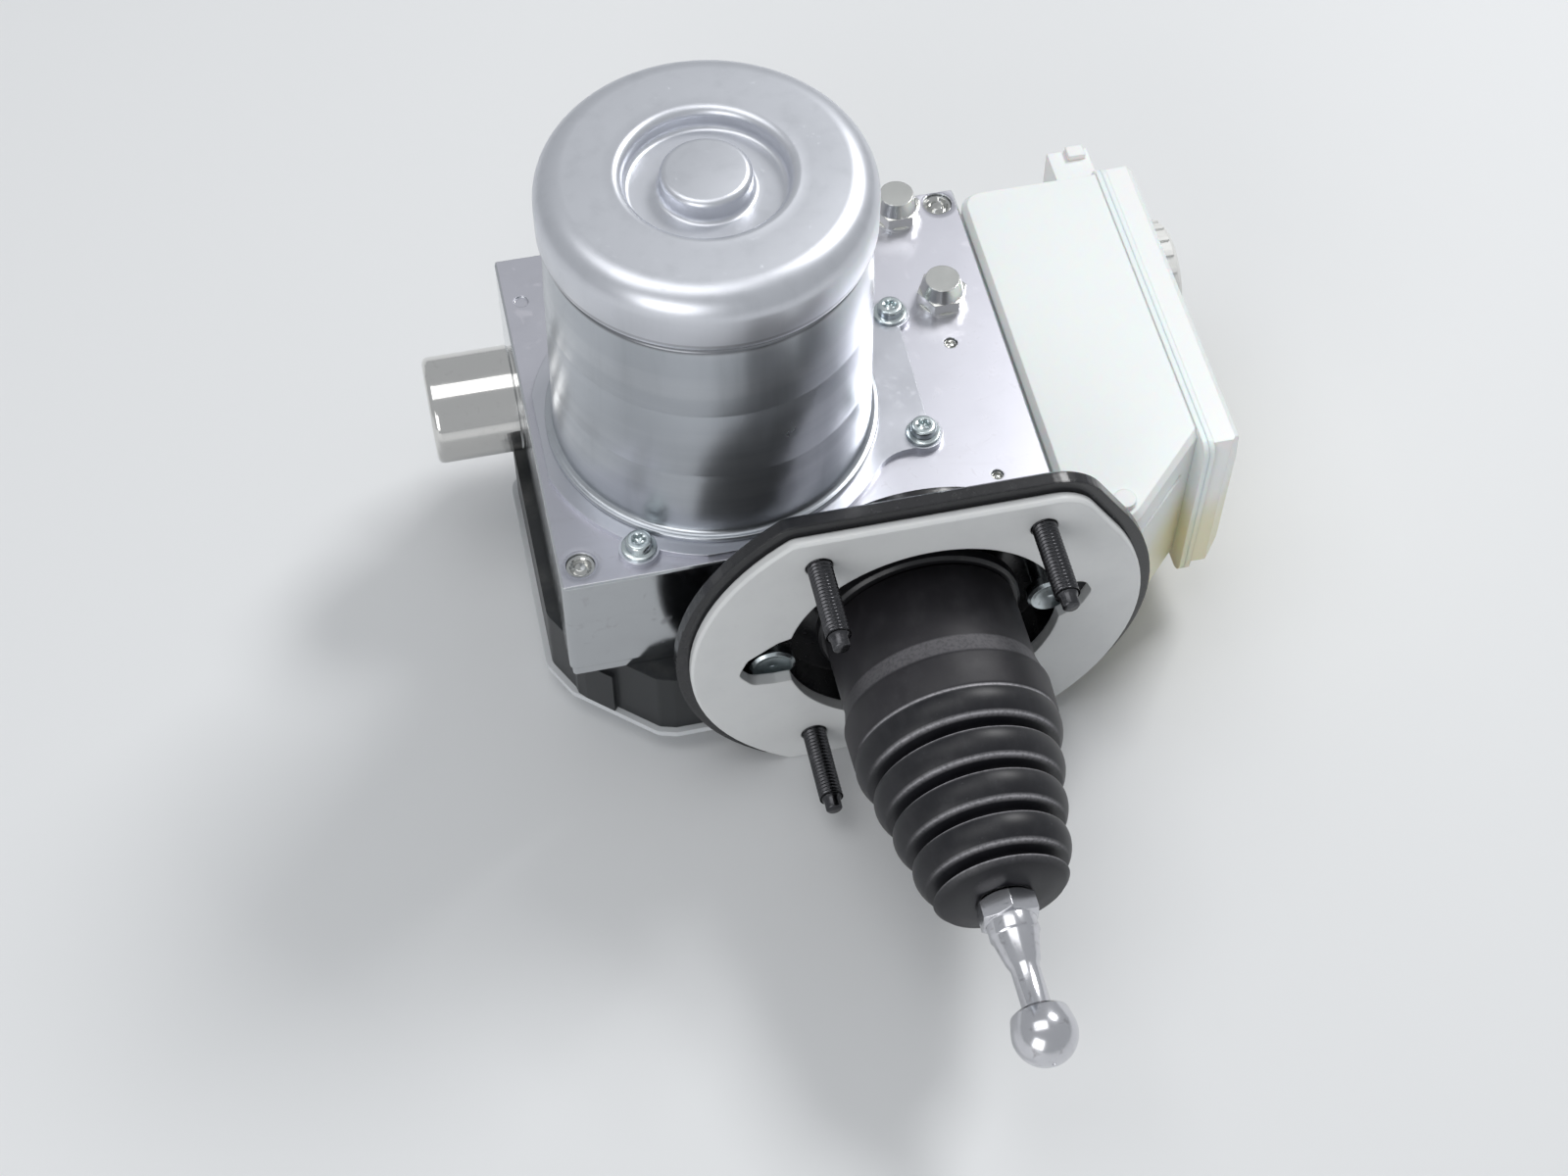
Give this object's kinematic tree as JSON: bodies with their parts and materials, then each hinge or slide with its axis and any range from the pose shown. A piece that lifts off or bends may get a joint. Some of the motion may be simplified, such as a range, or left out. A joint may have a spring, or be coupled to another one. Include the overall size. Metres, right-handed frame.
{
  "type": "electronic brake booster",
  "caption": "Electromechanical brake booster: drilled block with pedal rod in a folded boot, upright motor and ball screw, pedal simulator, fluid tank and control unit.",
  "frame": {"origin": "on the pedal rod's axis, in the plane of the plate's face that meets the bulkhead, which is also the centre of the four studs", "axes": "-Y along the rod to the pedal, +Z along the motor's axis away from the block, +X to the fluid reservoir. The picture shows it lying with +Z up; fitted in a vehicle, +X is up."},
  "size_m": [0.2638, 0.3222, 0.2006],
  "materials": {
    "block": "machined, faintly mirror-like",
    "plug": "pressed in and caulked",
    "bracket": "gloss black coat",
    "plate": "light grey satin coat",
    "black_steel": "black phosphate",
    "zinc": "blue zinc plating",
    "sleeve": "moulded, semi-gloss",
    "boot": "dusty, satin",
    "rod_steel": "ground",
    "ball_chrome": "polished",
    "piston": "hard anodised",
    "spring_steel": "drawn wire",
    "seal": "matte",
    "can": "deep-drawn, satin",
    "flange": "satin sheet",
    "lamination": "stacked sheets",
    "copper": "enamelled wire",
    "magnet": "coated",
    "bearing": "ground",
    "nut_steel": "ground",
    "sim_chrome": "turned and polished",
    "tank": "translucent white, tinted by the fluid low down",
    "cap": "moulded",
    "float_foam": "foamed",
    "ecu_plastic": "glass-filled, moulded",
    "cover": "pressed sheet",
    "screw_steel": "plated",
    "board": "solder resist",
    "pin_brass": "tin flashed",
    "coil_varnish": "potted winding"
  },
  "bodies": {
    "housing": {"hydraulic_block": "block", "bore_plugs": "plug", "hex_plugs": "nut_steel", "mounting_bracket": "bracket", "mounting_plate": "plate", "mounting_studs": "black_steel", "bracket_bolts": "zinc", "input_sleeve": "sleeve", "dust_boot": "boot", "primary_spring": "spring_steel", "secondary_spring": "spring_steel", "piston_seals": "seal", "motor_flange": "flange", "motor_can": "can", "motor_screws": "zinc", "stator_core": "lamination", "stator_windings": "copper", "motor_terminals": "copper", "plunger_seal": "seal", "upper_bearing": "bearing", "lower_bearing": "bearing", "simulator_housing": "sim_chrome", "simulator_spring": "spring_steel", "reservoir_lower_shell": "tank", "reservoir_upper_shell": "tank", "reservoir_grommets": "seal", "level_sensor_pins": "pin_brass", "ecu_housing": "ecu_plastic", "ecu_cover": "cover", "ecu_cover_screws": "screw_steel", "ecu_block_screws": "screw_steel", "circuit_board": "board", "connector_pins": "pin_brass", "valve_cartridges": "nut_steel", "valve_coils": "coil_varnish", "pressure_sensor": "nut_steel"},
    "input_piston": {"primary_piston": "piston", "rod_retainer": "spring_steel"},
    "pedal_rod": {"push_rod": "rod_steel", "ball_end": "ball_chrome"},
    "floating_piston": {"secondary_piston": "piston"},
    "feel_piston": {"simulator_piston": "piston", "simulator_seals": "seal"},
    "rotor": {"rotor_shaft": "rod_steel", "rotor_magnets": "magnet", "ball_nut": "nut_steel"},
    "plunger": {"screw_spindle": "nut_steel", "pressure_plunger": "piston"},
    "cap_seal": {"cap_gasket": "seal"},
    "cap": {"filler_cap": "cap"},
    "fluid_float": {"level_float": "float_foam"}
  },
  "joints": [
    {"name": "pedal_stroke", "type": "slide", "parent": "housing", "child": "input_piston", "axis": [0, 1, 0], "range_m": [0, 0.036], "stiffness_N_per_m": 2000, "springref_m": -0.01, "deforming": ["dust_boot", "primary_spring"]},
    {"name": "rod_swivel", "type": "hinge", "parent": "input_piston", "child": "pedal_rod", "pos_m": [0, -0.004, 0], "axis": [0, 0, 1], "range_deg": [-1.8, 1.8]},
    {"name": "floating_slide", "type": "slide", "parent": "housing", "child": "floating_piston", "axis": [0, 1, 0], "range_m": [0, 0.0218], "deforming": ["secondary_spring"]},
    {"name": "simulator_slide", "type": "slide", "parent": "housing", "child": "feel_piston", "axis": [-1, 0, 0], "range_m": [0, 0.0201], "deforming": ["simulator_spring"]},
    {"name": "rotor_spin", "type": "hinge", "parent": "housing", "child": "rotor", "pos_m": [-0.0517, 0.0806, 0], "axis": [0, 0, 1], "range_deg": [0, 1368]},
    {"name": "plunger_slide", "type": "slide", "parent": "housing", "child": "plunger", "axis": [0, 0, -1], "range_m": [0, 0.0191]},
    {"name": "cap_lift", "type": "slide", "parent": "housing", "child": "cap_seal", "axis": [1, 0, 0], "range_m": [0, 0.02]},
    {"name": "cap_turn", "type": "hinge", "parent": "cap_seal", "child": "cap", "pos_m": [0.116, 0.133, -0.005], "axis": [1, 0, 0], "range_deg": [0, 90]},
    {"name": "float_slide", "type": "slide", "parent": "housing", "child": "fluid_float", "axis": [1, 0, 0], "range_m": [0, 0.022]}
  ],
  "couplings": [
    {"joint": "floating_slide", "follows": "pedal_stroke", "ratio": 0.6},
    {"joint": "simulator_slide", "follows": "pedal_stroke", "ratio": 0.55556},
    {"joint": "plunger_slide", "follows": "rotor_spin", "m_per_rad": 0.00079577}
  ]
}
